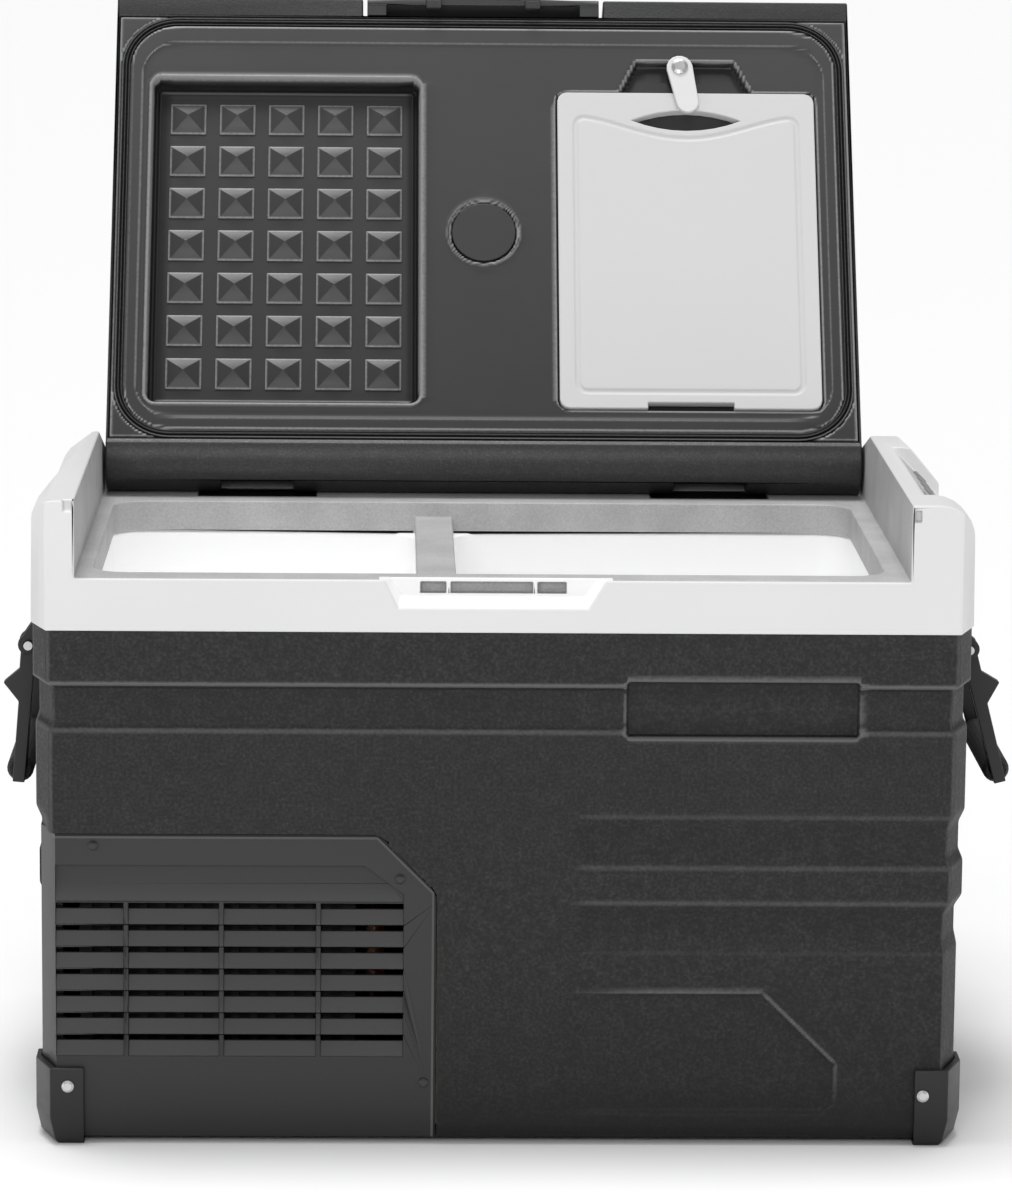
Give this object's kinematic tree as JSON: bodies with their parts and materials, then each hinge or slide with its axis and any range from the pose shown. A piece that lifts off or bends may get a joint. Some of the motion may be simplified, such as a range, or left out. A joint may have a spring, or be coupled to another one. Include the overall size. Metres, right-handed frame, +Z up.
{
  "type": "compressor cooler fridge",
  "caption": "Black insulated compressor chest fridge with a light rim, an open hinged lid carrying a clipped cutting board, side bail handles and a louvred cooling-unit cover.",
  "frame": {"origin": "Middle of the plinth face that the chest rests on.", "axes": "+Z up, the front with the louvred cover faces -Y, +X to the right as seen from the front."},
  "size_m": [0.6761, 0.5637, 0.719],
  "materials": {
    "shell_black": "moulded, pebbled",
    "smooth_black": "moulded, fine grain",
    "lid_black": "moulded, satin",
    "frame_grey": "moulded, satin",
    "liner_white": "smooth",
    "foam_cream": "rigid insulating foam",
    "board_grey": "fine matt",
    "clip_grey": "smooth",
    "rubber_black": "matt rubber",
    "bright_steel": "plated",
    "dark_steel": "black coated",
    "aluminium": "mill finish",
    "copper": "bare copper tube",
    "circuit_green": "solder mask",
    "display_glass": "dark window",
    "button_grey": "soft touch"
  },
  "bodies": {
    "cabinet": {"outer_shell": "shell_black", "base_tray": "smooth_black", "top_frame": "frame_grey", "inner_liner": "liner_white", "insulation_foam": "foam_cream", "evaporator_plate": "aluminium", "compressor_cover": "smooth_black", "corner_guard_front_left": "smooth_black", "corner_guard_front_right": "smooth_black", "corner_guard_rear_left": "smooth_black", "corner_guard_rear_right": "smooth_black", "guard_screw_front_left": "bright_steel", "guard_screw_front_right": "bright_steel", "guard_screw_rear_left": "bright_steel", "guard_screw_rear_right": "bright_steel", "cover_screw_1": "dark_steel", "cover_screw_2": "dark_steel", "cover_screw_3": "dark_steel", "handle_bracket_left": "smooth_black", "handle_bracket_right": "smooth_black", "handle_rod_left": "bright_steel", "handle_rod_right": "bright_steel", "hinge_bracket_left": "dark_steel", "hinge_bracket_right": "dark_steel", "hinge_pin_left": "bright_steel", "hinge_pin_right": "bright_steel", "control_panel": "smooth_black", "display_window": "display_glass", "control_board": "circuit_green", "power_inlet": "smooth_black", "compressor": "dark_steel", "compressor_grommet_1": "rubber_black", "compressor_grommet_2": "rubber_black", "compressor_grommet_3": "rubber_black", "condenser": "aluminium", "fan_frame": "smooth_black", "drive_module": "aluminium", "filter_drier": "copper", "discharge_pipe": "copper", "suction_pipe": "copper"},
    "lid": {"lid_outer": "lid_black", "lid_inner_panel": "lid_black", "lid_foam": "foam_cream", "lid_gasket": "rubber_black", "cutting_board": "board_grey", "foam_port_cap": "lid_black", "clip_screw": "bright_steel", "latch_pin": "bright_steel"},
    "latch": {"lid_latch": "smooth_black"},
    "clip": {"board_clip": "clip_grey"},
    "left_handle": {"handle_bail_left": "smooth_black", "handle_grip_left": "rubber_black"},
    "right_handle": {"handle_bail_right": "smooth_black", "handle_grip_right": "rubber_black"},
    "fan": {"fan_rotor": "smooth_black"},
    "power_button": {"button_power": "button_grey"},
    "set_button": {"button_set": "button_grey"},
    "up_button": {"button_up": "button_grey"},
    "down_button": {"button_down": "button_grey"},
    "inlet_flap": {"inlet_cover": "rubber_black"}
  },
  "joints": [
    {"name": "lid_hinge", "type": "hinge", "parent": "cabinet", "child": "lid", "pos_m": [-0.0073, 0.154, 0.402], "axis": [1, 0, 0], "range_deg": [0, 122.5]},
    {"name": "latch_turn", "type": "hinge", "parent": "lid", "child": "latch", "pos_m": [-0.0073, 0.35026, 0.68959], "axis": [-1, 0, 0], "range_deg": [0, 35], "stiffness_Nm_per_rad": 0.6, "springref_deg": -8.59},
    {"name": "clip_turn", "type": "hinge", "parent": "lid", "child": "clip", "pos_m": [0.1352, 0.2932, 0.66666], "axis": [0, -0.8434, 0.5373], "range_deg": [-100, 79]},
    {"name": "left_handle_swing", "type": "hinge", "parent": "cabinet", "child": "left_handle", "pos_m": [-0.314, 0, 0.31], "axis": [0, 1, 0], "range_deg": [0, 125]},
    {"name": "right_handle_swing", "type": "hinge", "parent": "cabinet", "child": "right_handle", "pos_m": [0.314, 0, 0.31], "axis": [0, -1, 0], "range_deg": [0, 115]},
    {"name": "fan_spin", "type": "hinge", "parent": "cabinet", "child": "fan", "pos_m": [-0.185, -0.14, 0.104], "axis": [0, -1, 0], "continuous": true},
    {"name": "power_press", "type": "slide", "parent": "cabinet", "child": "power_button", "axis": [-0.7071, 0, -0.7071], "range_m": [0, 0.0012], "stiffness_N_per_m": 600, "springref_m": -0.0004},
    {"name": "set_press", "type": "slide", "parent": "cabinet", "child": "set_button", "axis": [-0.7071, 0, -0.7071], "range_m": [0, 0.0012], "stiffness_N_per_m": 600, "springref_m": -0.0004},
    {"name": "up_press", "type": "slide", "parent": "cabinet", "child": "up_button", "axis": [-0.7071, 0, -0.7071], "range_m": [0, 0.0012], "stiffness_N_per_m": 600, "springref_m": -0.0004},
    {"name": "down_press", "type": "slide", "parent": "cabinet", "child": "down_button", "axis": [-0.7071, 0, -0.7071], "range_m": [0, 0.0012], "stiffness_N_per_m": 600, "springref_m": -0.0004},
    {"name": "inlet_flap_lift", "type": "hinge", "parent": "cabinet", "child": "inlet_flap", "pos_m": [-0.23, 0.2016, 0.074], "axis": [1, 0, 0], "range_deg": [0, 120]}
  ]
}
